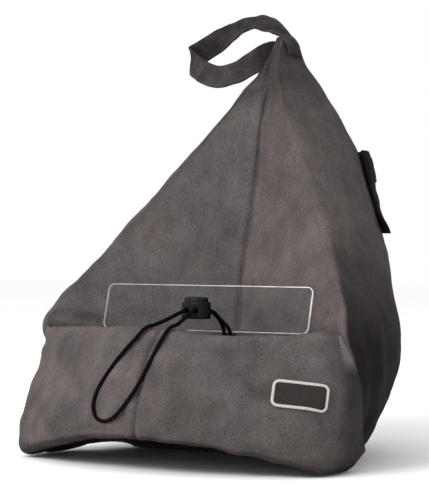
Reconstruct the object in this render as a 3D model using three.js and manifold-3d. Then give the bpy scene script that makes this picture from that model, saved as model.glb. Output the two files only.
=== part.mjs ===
// Book rest pillow: a filled tetrahedral cushion with a front ledge, a hand strap at its apex,
// a back pocket, a clear page plate and an elastic cord with a sprung lock.
// Millimetres, +Z up. The front faces -Y. Y is measured from the line through the two front feet,
// and the whole group is then moved so that its origin is the centre of the cushion's flat base.
import * as THREE from "three";
import { mergeVertices } from "three/addons/utils/BufferGeometryUtils.js";
import Module from "manifold-3d";

const wasm = await Module();
wasm.setup();

// Driving sizes
const feetToOrigin = 115; // from the feet line to the centre of the base
const seamGap = 0.55; // between sewn pieces
const seamReach = 90; // the width over which the cushion's sides make that room for the ledge
const apexDroop = 0.18; // fall of the apex seam towards the back, per mm
const apexStart = 285; // height where that fall begins
const apexTop = 330;
const apexSeamY = 184; // middle of the short seam that closes the apex
const panelHollow = 1.5; // sag of the two front panels
const shoulderBulge = 1.6; // fullness of the sides just behind the ridges, at mid height
const footRound = 2; // height of the first ring above the base
const halfSteps = 26; // facets in the cushion's half section
const ledgeFront = -49; // the ledge's bottom front edge at the centre
const ledgeRise = 24; // its height above the floor there
const ledgeHalf = 131; // half the ledge's length at its feet
const crestFront = -17; // the ledge's crest at the centre
const crestSweep = 34; // how far the crest runs back towards its ends
const crestHeight = 103;
const footArch = { start: 45, back: 98, half: 128, edge: 8, columns: 20, rows: 4 }; // the space under it
const ledgeFacets = 36; // round its profile
const overlap = 5; // how far the ledge reaches into the cushion before it is cut to fit it
const endTuck = { depth: 24, height: 15 }; // the end seams turn forward at the floor
const plate = { width: 185, height: 36, thickness: 2, corner: 5, lean: 15.2 };
const plateFoot = { x: 1.5, y: 45, z: 98.8 }; // the middle of its bottom edge
const strap = { width: 19, thickness: 2.6, steps: 44 };
const pocket = { low: 174, high: 240, edge: 5.85, cloth: 2.4, band: 3.8, bandLow: 216 };
const pocketOff = { seam: 0.5, mouth: 10.4, belly: 2.4, rise: 1.2, ear: 6 }; // how far it stands off
const cord = { radius: 1.5, sides: 8, spans: 82, groove: 2.3, grooveSpans: 20 };
const lock = { x: 8.6, y: 25, z: 109.8 }; // the middle of the barrel's underside
const barrel = { radius: 12, height: 12.5, wall: 1.7, floor: 0.9, edge: 0.8 };
const button = { radius: 9.85, low: 3.4, high: 16.3, edge: 1.2 };
const lockDepth = 0.71; // the lock's depth as a share of its width
const cordHole = { height: 6.6, spacing: 8, radius: 2.3, play: 0.05, travel: 2.2, facets: 6 };
const turnedFacets = 28; // round the lock's pieces
const patch = { width: 40, height: 19, thickness: 1.5, gap: 0.65, corner: 4, across: 16, up: 6 };
const patchPlace = { x: 114, y: -7, z: 58, turn: 30, lean: 17, tilt: 2 };

// The cushion's right half, one row for each height. ridge: where the front panel turns to the side.
// side, turn: points on the side and where it turns to the back. rear: the middle of the back.
const cushionRows = [
  { z: 0, seamY: 58, ridgeX: 104, ridgeY: 60, sideX: 101, sideY: 90, turnX: 78, turnY: 130, rearY: 166 },
  { z: 9, seamY: 56, ridgeX: 120, ridgeY: 56, sideX: 113, sideY: 92, turnX: 87, turnY: 138, rearY: 186 },
  { z: 30, seamY: 59, ridgeX: 131, ridgeY: 51, sideX: 127, sideY: 90, turnX: 99, turnY: 145, rearY: 208 },
  { z: 56, seamY: 71, ridgeX: 135, ridgeY: 46, sideX: 135, sideY: 88, turnX: 112, turnY: 152, rearY: 226 },
  { z: 80, seamY: 87, ridgeX: 135, ridgeY: 36, sideX: 137.5, sideY: 86, turnX: 118, turnY: 157, rearY: 233 },
  { z: 103, seamY: 100, ridgeX: 134, ridgeY: 26, sideX: 136, sideY: 84, turnX: 115, turnY: 159, rearY: 236 },
  { z: 121, seamY: 104, ridgeX: 129, ridgeY: 36, sideX: 129, sideY: 90, turnX: 108, turnY: 162, rearY: 236 },
  { z: 145, seamY: 109, ridgeX: 112, ridgeY: 53, sideX: 116, sideY: 99, turnX: 100, turnY: 169, rearY: 236 },
  { z: 169, seamY: 115, ridgeX: 97, ridgeY: 70, sideX: 103, sideY: 112, turnX: 90, turnY: 178, rearY: 234 },
  { z: 193, seamY: 121, ridgeX: 81, ridgeY: 87, sideX: 90, sideY: 126, turnX: 79, turnY: 186, rearY: 232 },
  { z: 217, seamY: 127, ridgeX: 66, ridgeY: 101, sideX: 76, sideY: 138, turnX: 69, turnY: 191, rearY: 230 },
  { z: 240, seamY: 133, ridgeX: 50, ridgeY: 114, sideX: 62, sideY: 148, turnX: 59, turnY: 197, rearY: 226 },
  { z: 266, seamY: 139, ridgeX: 32, ridgeY: 127, sideX: 44, sideY: 158, turnX: 42, turnY: 198, rearY: 220 },
  { z: 285, seamY: 146, ridgeX: 20, ridgeY: 138, sideX: 31, sideY: 165, turnX: 29, turnY: 199, rearY: 216 },
  { z: 301, seamY: 152, ridgeX: 10, ridgeY: 149, sideX: 20, sideY: 172, turnX: 19, turnY: 198, rearY: 211 },
  { z: 316, seamY: 160, ridgeX: 5, ridgeY: 160, sideX: 9.5, sideY: 178, turnX: 9, turnY: 194, rearY: 205 },
  { z: 330, seamY: 167, ridgeX: 3, ridgeY: 168, sideX: 4.5, sideY: 180, turnX: 4, turnY: 193, rearY: 201 },
];

// How far the ledge reaches to the left and to the right at each height
const ledgeEnds = [
  { z: 0, left: 136, right: 131 },
  { z: 5, left: 141, right: 136 },
  { z: 14, left: 142.5, right: 139 },
  { z: 28, left: 139.5, right: 138 },
  { z: 45, left: 136.5, right: 137 },
  { z: 63, left: 132, right: 133 },
  { z: 78, left: 128.5, right: 129.5 },
  { z: 104, left: 130.5, right: 131 },
];

// The ledge's stations along its half length: the share of the profile's depth that is left before
// it closes to the end seam, and the share of its height
const ledgeStations = [
  { along: 0, depth: 1, height: 1 },
  { along: 0.12, depth: 1, height: 1 },
  { along: 0.24, depth: 1, height: 1 },
  { along: 0.36, depth: 1, height: 1 },
  { along: 0.48, depth: 1, height: 1 },
  { along: 0.6, depth: 1, height: 1 },
  { along: 0.72, depth: 1, height: 1 },
  { along: 0.82, depth: 1, height: 1 },
  { along: 0.9, depth: 1, height: 1 },
  { along: 0.95, depth: 0.95, height: 1 },
  { along: 0.975, depth: 0.85, height: 0.99 },
  { along: 0.99, depth: 0.66, height: 0.98 },
  { along: 1, depth: 0.4, height: 0.96 },
  { along: 1.002, depth: 0.15, height: 0.9 },
];

// The strap's middle line from the left flank of the apex round to the right one,
// and the direction of its width at each point
const strapPoints = [
  { x: -10.7, y: 198, z: 321, wx: 0.3, wy: 0, wz: 0.95 },
  { x: -11, y: 186, z: 322.5, wx: 0.3, wy: 0, wz: 0.95 },
  { x: -12.6, y: 176, z: 323.5, wx: 0.25, wy: 0, wz: 0.97 },
  { x: -21, y: 165.5, z: 316, wx: 0, wy: 0.15, wz: 0.98 },
  { x: -37, y: 160.5, z: 307, wx: 0, wy: 0.2, wz: 0.97 },
  { x: -54, y: 161, z: 304, wx: 0, wy: 0.2, wz: 0.97 },
  { x: -71, y: 165, z: 310, wx: 0, wy: 0.15, wz: 0.98 },
  { x: -84, y: 171.5, z: 318, wx: 0, wy: 0.1, wz: 1 },
  { x: -90, y: 180, z: 323.5, wx: 0, wy: 0.1, wz: 1 },
  { x: -85.5, y: 188.5, z: 328.5, wx: 0, wy: 0.1, wz: 1 },
  { x: -76, y: 195, z: 335.5, wx: 0, wy: 0.15, wz: 0.98 },
  { x: -65, y: 200, z: 344, wx: 0, wy: 0.35, wz: 0.93 },
  { x: -51, y: 202, z: 350, wx: 0, wy: 0.5, wz: 0.86 },
  { x: -35.5, y: 200.5, z: 350.8, wx: 0, wy: 0.7, wz: 0.7 },
  { x: -21, y: 193, z: 346.2, wx: 0, wy: 0.88, wz: 0.45 },
  { x: -7, y: 186, z: 340.4, wx: 0, wy: 1, wz: 0.15 },
  { x: 3.2, y: 180, z: 335, wx: 0, wy: 1, wz: 0.05 },
  { x: 8.6, y: 177, z: 328.2, wx: 0, wy: 1, wz: 0 },
  { x: 11.2, y: 175.5, z: 319.5, wx: 0, wy: 1, wz: 0 },
];

// The cord's route: out of the crevice, under the plate, up to the lock, through its left hole, round
// the loop that hangs over the ledge, and back through the right hole to the crevice
const cordRoute = [
  [-2.2, 84.6, 82],
  [-1.6, 87.6, 88],
  [1, 85.6, 93],
  [7, 75, 95.2],
  [15, 60, 95.2],
  [20, 51, 95.2],
  [22.6, 45.2, 95.6],
  [23.2, 41.9, 98.4],
  [22.2, 41.9, 102.4],
  [18.4, 43.2, 108],
  [12.8, 43.2, 113.4],
  [7.6, 39.8, 116],
  [4.8, 33.5, 116.4],
  [4.6, 25, 116.4],
  [4.4, 16.5, 116.3],
  [1.5, 9, 113.6],
  [-2.6, 2, 110],
  [-7, -6, 106.6],
  [-9.8, -17.4, 103.8],
  [-14, -24.8, 95.8],
  [-21.7, -30.5, 85.3],
  [-30.9, -36.8, 70.3],
  [-37.6, -41.6, 55.3],
  [-38, -44.4, 45.5],
  [-33, -47.2, 38.4],
  [-25, -48.8, 36.4],
  [-16.3, -49.2, 40],
  [-7.6, -46.7, 50.3],
  [1, -41.6, 65.2],
  [6, -33.6, 82],
  [9.4, -24.8, 96],
  [9.8, -15, 104],
  [9.8, -3, 106.8],
  [10.4, 7, 111.4],
  [12.3, 15, 116],
  [12.6, 25, 116.4],
  [12.8, 33.5, 116.3],
  [15.6, 39.4, 114],
  [20.8, 40.6, 108.6],
  [26.6, 41.4, 103],
  [28.8, 41.5, 98.6],
  [27.8, 45.4, 95.6],
  [24.8, 52.4, 95.2],
  [20, 62.5, 95.2],
  [12.6, 75.6, 95.2],
  [6, 86, 93],
  [3, 87.8, 88],
  [2.2, 84.6, 82],
];

// Linear interpolation in a table, by its z column
function lookup(rows, key, z) {
  const last = rows.length - 1;
  if (z <= rows[0].z) return rows[0][key];
  if (z >= rows[last].z) return rows[last][key];
  const next = rows.findIndex((row) => row.z > z);
  const low = rows[next - 1];
  const high = rows[next];
  return THREE.MathUtils.lerp(low[key], high[key], (z - low.z) / (high.z - low.z));
}

// A closed surface through rings of equally many points, counter-clockwise seen from the last ring
function loft(rings) {
  const count = rings[0].length;
  const points = rings.flat();
  const index = [];
  for (let row = 0; row + 1 < rings.length; row++) {
    for (let i = 0; i < count; i++) {
      const a = row * count + i;
      const b = row * count + ((i + 1) % count);
      index.push(a, b, b + count, a, b + count, a + count);
    }
  }
  const caps = [
    [0, true],
    [rings.length - 1, false],
  ];
  for (const [row, flip] of caps) {
    const centre = rings[row].reduce((sum, p) => sum.add(p), new THREE.Vector3()).divideScalar(count);
    const middle = points.push(centre) - 1;
    for (let i = 0; i < count; i++) {
      const a = row * count + i;
      const b = row * count + ((i + 1) % count);
      if (flip) index.push(b, a, middle);
      else index.push(a, b, middle);
    }
  }
  const geometry = new THREE.BufferGeometry().setFromPoints(points);
  geometry.setIndex(index);
  return geometry;
}

// A three.js geometry as a solid that can be cut
function toSolid(geometry) {
  const bare = geometry.clone();
  bare.deleteAttribute("normal");
  bare.deleteAttribute("uv");
  const merged = mergeVertices(bare, 1e-4);
  const vertProperties = new Float32Array(merged.attributes.position.array);
  const triVerts = new Uint32Array(merged.index.array);
  return new wasm.Manifold(new wasm.Mesh({ numProp: 3, vertProperties, triVerts }));
}

function toGeometry(solid) {
  const mesh = solid.getMesh();
  const geometry = new THREE.BufferGeometry();
  geometry.setAttribute("position", new THREE.BufferAttribute(mesh.vertProperties, 3));
  geometry.setIndex(new THREE.BufferAttribute(mesh.triVerts, 1));
  return geometry;
}

// The cushion's half section at height z, from the front seam to the middle of the back
function halfSection(z) {
  const at = (key) => lookup(cushionRows, key, z);
  const seam = new THREE.Vector2(0, at("seamY"));
  const ridge = new THREE.Vector2(at("ridgeX"), at("ridgeY"));
  const sag = (share) => new THREE.Vector2(0, panelHollow * (1 - share));
  const onPanel = (share) => seam.clone().lerp(ridge, share).add(sag(share));
  const side = new THREE.Vector2(at("sideX"), at("sideY"));
  const turn = new THREE.Vector2(at("turnX"), at("turnY"));
  const flank = new THREE.Vector2(turn.x * 0.56, THREE.MathUtils.lerp(turn.y, at("rearY"), 0.72));
  const rear = new THREE.Vector2(0, at("rearY"));
  const bulge = shoulderBulge * 4 * (z / apexTop) * (1 - z / apexTop);
  const shoulder = ridge.clone().lerp(side, 0.45).add(new THREE.Vector2(bulge, 0));
  const front = [seam, onPanel(0.4), onPanel(0.88), ridge];
  return new THREE.SplineCurve([...front, shoulder, side, turn, flank, rear]);
}

function cushionRing(z) {
  const curve = halfSection(z);
  const half = [...Array(halfSteps + 1).keys()].map((i) => curve.getPoint(i / halfSteps));
  const right = half.map((p) => [p.x, p.y]);
  const left = half.slice(1, -1).reverse().map((p) => [-p.x, p.y]);
  const droop = apexDroop * THREE.MathUtils.smoothstep(z, apexStart, apexTop);
  return [...right, ...left].map(([x, y]) => new THREE.Vector3(x, y, z - droop * (y - apexSeamY)));
}

function cushionGeometry() {
  const rows = cushionRows.map((row) => row.z);
  const between = rows.slice(1).map((z, i) => (z + rows[i]) / 2);
  const heights = [...rows, ...between, footRound].sort((a, b) => a - b);
  return loft(heights.map(cushionRing));
}

// The front face of the cushion, where the ledge lies against it
function cushionFrontY(x, z) {
  const share = Math.min(1, Math.abs(x) / lookup(cushionRows, "ridgeX", z));
  return THREE.MathUtils.lerp(lookup(cushionRows, "seamY", z), lookup(cushionRows, "ridgeY", z), share);
}

// The ledge's profile at a station, drawn up and forward at the centre
function ledgeRing({ along, depth, height }) {
  const sweep = Math.min(1, along * along);
  const frontY = ledgeFront * (1 - sweep);
  const rise = ledgeRise * (1 - sweep);
  const crestY = crestFront + crestSweep * sweep;
  const x = along * ledgeHalf;
  const towardsEnd = THREE.MathUtils.smoothstep(along, 0.86, 1);
  const tuck = (z) => endTuck.depth * towardsEnd * Math.max(0, 1 - z / endTuck.height);
  const rear = (z) => cushionFrontY(x, z) + THREE.MathUtils.lerp(overlap, -3, towardsEnd) - tuck(z);
  const face = (share, crown) => [
    THREE.MathUtils.lerp(frontY, crestY, share) - crown,
    THREE.MathUtils.lerp(rise, crestHeight, share),
  ];
  const profile = [
    [frontY + 4, rise],
    face(0.1, 2.5),
    face(0.35, 6),
    face(0.65, 6),
    face(0.9, 2),
    [crestY + 4, crestHeight - 0.5],
    [THREE.MathUtils.lerp(crestY, rear(98), 0.3), crestHeight - 3],
    [THREE.MathUtils.lerp(crestY, rear(98), 0.6), 97.4],
    [rear(98), 96.4],
    [rear(60), 60],
    [rear(20), 20],
    [rear(0), 0],
    [THREE.MathUtils.lerp(frontY, rear(0), 0.6), 0],
    [THREE.MathUtils.lerp(frontY, rear(0), 0.3), rise * 0.45],
  ];
  const closed = new THREE.CatmullRomCurve3(
    profile.map(([y, z]) => new THREE.Vector3(0, y, z)),
    true,
  );
  return [...Array(ledgeFacets).keys()].map((i) => {
    const p = closed.getPoint(i / ledgeFacets);
    const z = Math.max(0, THREE.MathUtils.lerp(crestHeight / 2, p.z, height));
    return { y: THREE.MathUtils.lerp(rear(z), p.y, depth), z };
  });
}

function ledgeGeometry() {
  const ends = [-1, 1].map((side) =>
    ledgeStations.map((station) =>
      ledgeRing(station).map(({ y, z }) => {
        const reach = lookup(ledgeEnds, side < 0 ? "left" : "right", z);
        return new THREE.Vector3(side * station.along * reach, y, z);
      }),
    ),
  );
  return loft([...ends[1].reverse(), ...ends[0].slice(1)]);
}

// A band between two offsets from a middle surface: point and out give its place and its outward side
function shell(columns, rows, point, inner, outer) {
  const rings = [];
  for (let i = 0; i <= columns; i++) {
    const side = (offset) =>
      [...Array(rows + 1).keys()].map((j) => {
        const { place, out } = point(i / columns, j / rows);
        return place.clone().addScaledVector(out, offset(i / columns, j / rows));
      });
    rings.push([...side(inner), ...side(outer).reverse()]);
  }
  return loft(rings);
}

// The space under the drawn-up front: a low vault as far back as start, then down to the floor at back
function archGeometry() {
  const { start, back, half, edge, columns, rows } = footArch;
  const reach = back - start;
  const depth = (v) => (v === 0 ? ledgeFront - edge : start + (reach * (v * rows - 1)) / (rows - 1));
  const point = (u, v) => ({
    place: new THREE.Vector3(THREE.MathUtils.lerp(-half, half, u), depth(v), 0),
    out: new THREE.Vector3(0, 0, 1),
  });
  const rise = (u, v) => {
    const past = Math.max(0, depth(v) - start) / reach;
    return ledgeRise * (1 - (2 * u - 1) ** 2) * Math.sqrt(Math.max(0, 1 - past * past));
  };
  return shell(columns, rows, point, () => -edge, rise);
}

// The hand strap: a flat band carried along its middle line with its own width direction
function strapGeometry() {
  const line = new THREE.CatmullRomCurve3(strapPoints.map(({ x, y, z }) => new THREE.Vector3(x, y, z)));
  const turns = strapPoints.map(({ wx, wy, wz }) => new THREE.Vector3(wx, wy, wz));
  const widths = new THREE.CatmullRomCurve3(turns);
  const round = 0.62; // where the rounded edges start, as a share of the half width
  const section = [
    [-1, 0.3],
    [-round - 0.3, 1],
    [round + 0.3, 1],
    [1, 0.3],
    [1, -0.3],
    [round + 0.3, -1],
    [-round - 0.3, -1],
    [-1, -0.3],
  ];
  const rings = [];
  for (let i = 0; i <= strap.steps; i++) {
    const t = i / strap.steps;
    const along = line.getTangent(t);
    const across = widths.getPoint(t);
    across.addScaledVector(along, -across.dot(along)).normalize();
    const out = new THREE.Vector3().crossVectors(along, across);
    rings.push(
      section.map(([w, h]) =>
        line
          .getPoint(t)
          .addScaledVector(across, (w * strap.width) / 2)
          .addScaledVector(out, (h * strap.thickness) / 2),
      ),
    );
  }
  return loft(rings.reverse());
}

// The back pocket, standing off the cushion's back between its sewn sides and foot
function pocketGeometry() {
  const columns = 24;
  const rows = 8;
  const controls = 8; // the spans of the half section
  const height = (v) => THREE.MathUtils.lerp(pocket.low, pocket.high, v);
  const point = (u, v) => {
    const z = height(v);
    const s = 1 - 2 * u;
    const curve = halfSection(z);
    const t = THREE.MathUtils.lerp(1, pocket.edge / controls, Math.abs(s));
    const p = curve.getPoint(t);
    const along = curve.getTangent(Math.min(t, 0.999));
    const side = Math.sign(s) || 1;
    const place = new THREE.Vector3(side * p.x, p.y, z);
    const out = new THREE.Vector3(Math.abs(s) < 1e-6 ? 0 : side * along.y, -along.x, 0).normalize();
    return { place, out };
  };
  const standOff = (u, v) => {
    const s = 1 - 2 * u;
    const atFoot = 1 - THREE.MathUtils.smoothstep(v, 0, 0.3);
    const atSide = THREE.MathUtils.smoothstep(Math.abs(s), 0.86, 1);
    const gape = (1 - s * s) * Math.pow(v, 1.2);
    const full = (1 - s ** 4) * Math.sin(Math.PI * v);
    const { seam, mouth, belly, rise, ear } = pocketOff;
    return seam + mouth * gape + belly * full + rise * v + ear * atFoot * atSide;
  };
  const thickness = (v) => (height(v) >= pocket.bandLow ? pocket.band : pocket.cloth);
  return shell(columns, rows, point, standOff, (u, v) => standOff(u, v) + thickness(v));
}

function plateGeometry() {
  const { width, height, thickness, corner } = plate;
  const shape = new THREE.Shape();
  shape.moveTo(-width / 2 + corner, 0);
  shape.absarc(width / 2 - corner, corner, corner, -Math.PI / 2, 0);
  shape.absarc(width / 2 - corner, height - corner, corner, 0, Math.PI / 2);
  shape.absarc(-width / 2 + corner, height - corner, corner, Math.PI / 2, Math.PI);
  shape.absarc(-width / 2 + corner, corner, corner, Math.PI, 1.5 * Math.PI);
  const options = { depth: thickness, bevelEnabled: false, curveSegments: 5 };
  const geometry = new THREE.ExtrudeGeometry(shape, options);
  geometry.translate(0, 0, -thickness / 2);
  geometry.rotateX(THREE.MathUtils.degToRad(90 - plate.lean));
  return geometry.translate(plateFoot.x, plateFoot.y, plateFoot.z);
}

// A round tube along part of the cord's route, from one of its spans to another
function cordTube(radius, from, to) {
  const route = new THREE.CatmullRomCurve3(cordRoute.map((p) => new THREE.Vector3(...p)));
  const steps = to - from;
  const points = [...Array(steps + 1).keys()].map((i) => route.getPointAt((from + i) / cord.spans));
  const circle = new THREE.Shape().absarc(0, 0, radius, 0, 2 * Math.PI);
  const extrudePath = new THREE.CatmullRomCurve3(points);
  const curveSegments = cord.sides / 2;
  return new THREE.ExtrudeGeometry(circle, { steps, extrudePath, curveSegments, bevelEnabled: false });
}

function turned(profile) {
  const geometry = new THREE.LatheGeometry(
    profile.map(([r, z]) => new THREE.Vector2(r, z)),
    turnedFacets,
  );
  return geometry.rotateX(Math.PI / 2).scale(1, lockDepth, 1);
}

// The two holes through a piece of the lock, between two heights of the cord in it
function lockHoles(solid, low, high) {
  const { radius, spacing, facets } = cordHole;
  for (const side of [-1, 1]) {
    const slot = new THREE.Shape();
    slot.absarc(0, high, radius, 0, Math.PI);
    slot.absarc(0, low, radius, Math.PI, 2 * Math.PI);
    const depth = 3 * barrel.radius;
    const cutter = new THREE.ExtrudeGeometry(slot, { depth, bevelEnabled: false, curveSegments: facets });
    cutter.translate(0, 0, -depth / 2).rotateX(Math.PI / 2);
    solid = solid.subtract(toSolid(cutter.translate((side * spacing) / 2, 0, 0)));
  }
  return toGeometry(solid);
}

function barrelGeometry() {
  const { radius, height, wall, floor, edge } = barrel;
  const profile = [
    [0, 0],
    [radius - edge, 0],
    [radius, edge],
    [radius, height - edge],
    [radius - edge / 2, height],
    [radius - wall, height],
    [radius - wall, floor],
    [0, floor],
  ];
  const solid = toSolid(turned(profile));
  return lockHoles(solid, cordHole.height - cordHole.play, cordHole.height + cordHole.play);
}

function buttonGeometry() {
  const { radius, low, high, edge } = button;
  const profile = [
    [0, low],
    [radius, low],
    [radius, high - edge],
    [radius - 0.4 * edge, high - 0.4 * edge],
    [radius - 1.6 * edge, high],
    [0, high - 0.2],
  ];
  const solid = toSolid(turned(profile));
  return lockHoles(solid, cordHole.height, cordHole.height + cordHole.travel);
}

// The patch takes the form of the ledge's face below it
function patchGeometry(ledgeMesh) {
  const { across, up } = patch;
  const turn = new THREE.Euler(
    THREE.MathUtils.degToRad(-patchPlace.lean),
    THREE.MathUtils.degToRad(patchPlace.tilt),
    THREE.MathUtils.degToRad(patchPlace.turn),
    "ZXY",
  );
  const frame = new THREE.Matrix4().makeRotationFromEuler(turn);
  frame.setPosition(patchPlace.x, patchPlace.y, patchPlace.z);
  const inward = new THREE.Vector3(0, 1, 0).transformDirection(frame);
  const start = 40;
  const point = (u, v) => {
    const x = (u - 0.5) * patch.width;
    const inset = Math.max(0, Math.abs(x) - patch.width / 2 + patch.corner);
    const drop = patch.corner - Math.sqrt(Math.max(0, patch.corner ** 2 - inset ** 2));
    const z = (v - 0.5) * (patch.height - 2 * drop);
    const from = new THREE.Vector3(x, -start, z).applyMatrix4(frame);
    const [hit] = new THREE.Raycaster(from, inward).intersectObject(ledgeMesh);
    return { place: hit.point, out: inward.clone().negate() };
  };
  return shell(across, up, point, () => patch.gap, () => patch.gap + patch.thickness);
}

const arch = toSolid(archGeometry());
const cushion = toGeometry(toSolid(cushionGeometry()).subtract(arch));
const moved = (up) => toSolid(cushion.clone().translate(0, -seamGap, up * seamGap));
const wider = toSolid(cushion.clone().scale(1 + seamGap / seamReach, 1, 1).translate(0, -seamGap, 0));
const room = [moved(-1), moved(0), moved(1), wider];
const grooves = [
  toSolid(cordTube(cord.groove, 0, cord.grooveSpans)),
  toSolid(cordTube(cord.groove, cord.spans - cord.grooveSpans, cord.spans)),
];
let ledgeSolid = toSolid(ledgeGeometry());
for (const cutter of [arch, ...room, ...grooves]) ledgeSolid = ledgeSolid.subtract(cutter);
const ledge = toGeometry(ledgeSolid);

const group = new THREE.Group();
group.position.set(0, -feetToOrigin, 0);

function add(name, geometry, color, roughness, at = [0, 0, 0]) {
  const mesh = new THREE.Mesh(geometry, new THREE.MeshStandardMaterial({ color, roughness, metalness: 0 }));
  mesh.name = name;
  mesh.position.set(...at);
  group.add(mesh);
  return mesh;
}

const suede = 0x5c5450;
const black = 0x161616;
const lockAt = [lock.x, lock.y, lock.z];
add("body_cushion", cushion, suede, 0.95);
const ledgeMesh = add("front_ledge", ledge, suede, 0.95);
add("hand_strap", strapGeometry(), suede, 0.95);
add("back_pocket", pocketGeometry(), black, 0.9);
add("page_plate", plateGeometry(), 0xf2f4f4, 0.05);
add("elastic_cord", cordTube(cord.radius, 1, cord.spans - 1), black, 0.85);
add("lock_barrel", barrelGeometry(), black, 0.4, lockAt);
add("lock_button", buttonGeometry(), black, 0.35, lockAt);
add("sewn_patch", patchGeometry(ledgeMesh), 0x3a3634, 0.9);

export default group;
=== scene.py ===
import math
import bmesh
import bpy
import numpy as np
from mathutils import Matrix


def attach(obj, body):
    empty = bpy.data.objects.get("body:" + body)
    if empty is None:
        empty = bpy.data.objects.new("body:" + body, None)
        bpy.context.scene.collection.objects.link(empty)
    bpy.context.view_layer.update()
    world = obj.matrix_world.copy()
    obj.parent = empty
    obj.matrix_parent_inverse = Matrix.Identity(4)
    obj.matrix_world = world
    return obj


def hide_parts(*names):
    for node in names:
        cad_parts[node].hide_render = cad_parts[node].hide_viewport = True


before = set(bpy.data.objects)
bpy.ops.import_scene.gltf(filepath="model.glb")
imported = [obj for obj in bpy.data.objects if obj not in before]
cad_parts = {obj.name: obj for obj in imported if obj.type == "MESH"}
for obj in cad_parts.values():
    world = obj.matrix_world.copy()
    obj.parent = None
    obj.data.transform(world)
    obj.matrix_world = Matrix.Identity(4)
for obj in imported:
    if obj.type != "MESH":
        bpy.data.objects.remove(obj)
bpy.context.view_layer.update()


# Small maths

mm = 0.001


def named(columns, rows, size=1):
    # A table as one array for each named column, its numbers multiplied by the size
    return dict(zip(columns.split(), np.array([row.split() for row in rows], float).T * size))


def smoothstep(x, low, high):
    # 0 below low and 1 above high, with a level start and end
    t = np.clip((x - low) / (high - low), 0, 1)
    return t * t * (3 - 2 * t)


def mix(a, b, t):
    # A share t of the way from a to b
    return a + (b - a) * t


def bell(x, width):
    # 1 at the middle, falling to 1 / e at this width
    return np.exp(-(x / width) ** 2)


def circle(count):
    # Equal steps once round a circle, in radians
    return np.linspace(0, 2 * math.pi, count, endpoint=False)


def unit(vectors):
    # Each vector divided by its own length
    return vectors / np.maximum(np.linalg.norm(vectors, axis=-1, keepdims=True), 1e-12)


def distances(line):
    # How far along the line each of its points lies
    return np.concatenate([[0], np.cumsum(np.linalg.norm(np.diff(line, axis=0), axis=1))])


def hermite(a, b, leaving, arriving, t):
    # The cubic from a to b that has these slopes at its ends
    rise = a * (1 - t) ** 2 * (1 + 2 * t) + b * t * t * (3 - 2 * t)
    return rise + leaving * t * (1 - t) ** 2 - arriving * t * t * (1 - t)


def columnAt(table, name, z):
    # Monotone cubic through a column: each row's slope is the harmonic mean of the chords beside it
    xs, ys = table["z"], table[name]
    chord = np.diff(ys) / np.diff(xs)
    product = chord[1:] * chord[:-1]
    total = np.where(product > 0, chord[1:] + chord[:-1], 1)
    slope = np.concatenate([chord[:1], np.where(product > 0, 2 * product / total, 0), chord[-1:]])
    i = np.clip(np.searchsorted(xs, z, side="right") - 1, 0, len(xs) - 2)
    h = xs[i + 1] - xs[i]
    t = np.clip((z - xs[i]) / h, 0, 1)
    return hermite(ys[i], ys[i + 1], h * slope[i], h * slope[i + 1], t)


def spline(points, places):
    # Uniform Catmull-Rom through the points of axis -2, whose first and last only steer it
    i = np.minimum(places.astype(int), points.shape[-2] - 4)
    p0, p1, p2, p3 = (points[..., i + k, :] for k in range(4))
    return hermite(p1, p2, (p2 - p0) / 2, (p3 - p1) / 2, (places - i)[:, None])


def easySpline(points, places, closed=False):
    # Centripetal Catmull-Rom: the knots are the square roots of the distances between the points
    if closed:
        points = np.concatenate([points[..., -1:, :], points, points[..., :2, :]], axis=-2)
    else:
        first = 2 * points[..., :1, :] - points[..., 1:2, :]
        last = 2 * points[..., -1:, :] - points[..., -2:-1, :]
        points = np.concatenate([first, points, last], axis=-2)
    i = np.minimum(places.astype(int), points.shape[-2] - 4)
    p0, p1, p2, p3 = (points[..., i + k, :] for k in range(4))
    k0, k1, k2 = (np.sqrt(np.linalg.norm(b - a, axis=-1, keepdims=True)) + 1e-9
                  for a, b in ((p0, p1), (p1, p2), (p2, p3)))
    start = k1 * ((p1 - p0) / k0 - (p2 - p0) / (k0 + k1) + (p2 - p1) / k1)
    end = k1 * ((p2 - p1) / k1 - (p3 - p1) / (k1 + k2) + (p3 - p2) / k2)
    return hermite(p1, p2, start, end, (places - i)[:, None])


def sampled(values, places, wanted):
    # Three columns of values, given at these places and read at the wanted ones by straight lines between
    return np.stack([np.interp(wanted, places, values[:, axis]) for axis in range(3)], axis=-1)


def evenly(line, count):
    # The same line with its points a constant distance apart, and its length
    gone = distances(line)
    return sampled(line, gone, np.linspace(0, gone[-1], count)), gone[-1]


def waves(points, size, seed, count=26):
    # Soft noise between about -1 and 1: the sum of plane waves of about this wavelength, in random directions
    random = np.random.default_rng(seed)
    ways = random.normal(size=(count, 3))
    lengths = np.linalg.norm(ways, axis=1)[:, None]
    ways *= (2 * math.pi / size) * random.uniform(0.6, 1.4, (count, 1)) / lengths
    phases = random.uniform(0, 2 * math.pi, count)
    total = np.zeros(points.shape[:-1])
    for way, phase in zip(ways, phases):
        total += np.sin(points @ way + phase)
    return total / math.sqrt(count)


def wavy(points, *rows):
    # A sum of such noises, each given by its height, its wavelength and its seed
    return sum(height * waves(points, size, seed) for height, size, seed in rows)


def outward(grid):
    # The normal at each point of a closed grid, from the differences along its rows and its columns
    along = np.roll(grid, -1, axis=1) - np.roll(grid, 1, axis=1)
    return unit(np.cross(along, np.gradient(grid, axis=0)))


def ringRound(turn, side, up):
    # The points of a circle in the plane of side and up, for each pair of them
    return np.cos(turn)[:, None] * side[..., None, :] + np.sin(turn)[:, None] * up[..., None, :]


# Meshes from grids

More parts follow.
